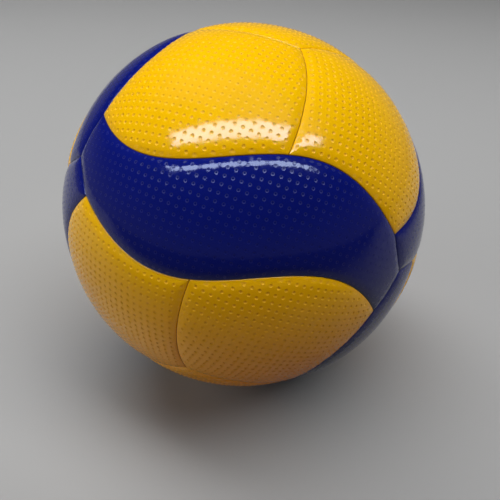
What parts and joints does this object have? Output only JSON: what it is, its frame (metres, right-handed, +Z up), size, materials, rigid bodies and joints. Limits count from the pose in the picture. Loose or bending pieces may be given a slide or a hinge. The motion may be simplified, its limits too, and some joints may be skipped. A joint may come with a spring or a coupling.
{
  "type": "volleyball",
  "caption": "Inflated ball with a cover of glued S-shaped and curved four-sided leather panels on foam, over a rubber carcass, a nylon winding and a bladder with a needle valve.",
  "frame": {"origin": "centre of the ball", "axes": "+Z up as the ball lies in its seat, -Y towards the viewer of the picture, +X to the right"},
  "size_m": [0.2099, 0.21, 0.21],
  "materials": {
    "blue_leather": "embossed synthetic leather with a soft gloss",
    "yellow_leather": "embossed synthetic leather with a soft gloss",
    "foam": "matt closed-cell foam",
    "carcass_rubber": "matt moulded rubber",
    "nylon": "wound yarn in latex",
    "butyl_rubber": "smooth matt rubber",
    "valve_rubber": "moulded rubber",
    "plug_rubber": "soft rubber"
  },
  "bodies": {
    "root": {"blue_front": "blue_leather", "blue_back": "blue_leather", "blue_right_1": "blue_leather", "blue_right_2": "blue_leather", "blue_left_1": "blue_leather", "blue_left_2": "blue_leather", "yellow_top_1": "yellow_leather", "yellow_top_2": "yellow_leather", "yellow_top_3": "yellow_leather", "yellow_bottom_1": "yellow_leather", "yellow_bottom_2": "yellow_leather", "yellow_bottom_3": "yellow_leather", "yellow_right_1": "yellow_leather", "yellow_right_2": "yellow_leather", "yellow_right_3": "yellow_leather", "yellow_left_1": "yellow_leather", "yellow_left_2": "yellow_leather", "yellow_left_3": "yellow_leather", "foam_blue_front": "foam", "foam_blue_back": "foam", "foam_blue_right_1": "foam", "foam_blue_right_2": "foam", "foam_blue_left_1": "foam", "foam_blue_left_2": "foam", "foam_yellow_top_1": "foam", "foam_yellow_top_2": "foam", "foam_yellow_top_3": "foam", "foam_yellow_bottom_1": "foam", "foam_yellow_bottom_2": "foam", "foam_yellow_bottom_3": "foam", "foam_yellow_right_1": "foam", "foam_yellow_right_2": "foam", "foam_yellow_right_3": "foam", "foam_yellow_left_1": "foam", "foam_yellow_left_2": "foam", "foam_yellow_left_3": "foam", "rubber_carcass": "carcass_rubber", "nylon_winding": "nylon", "butyl_bladder": "butyl_rubber", "valve_body": "valve_rubber", "valve_plug": "plug_rubber"}
  },
  "joints": []
}
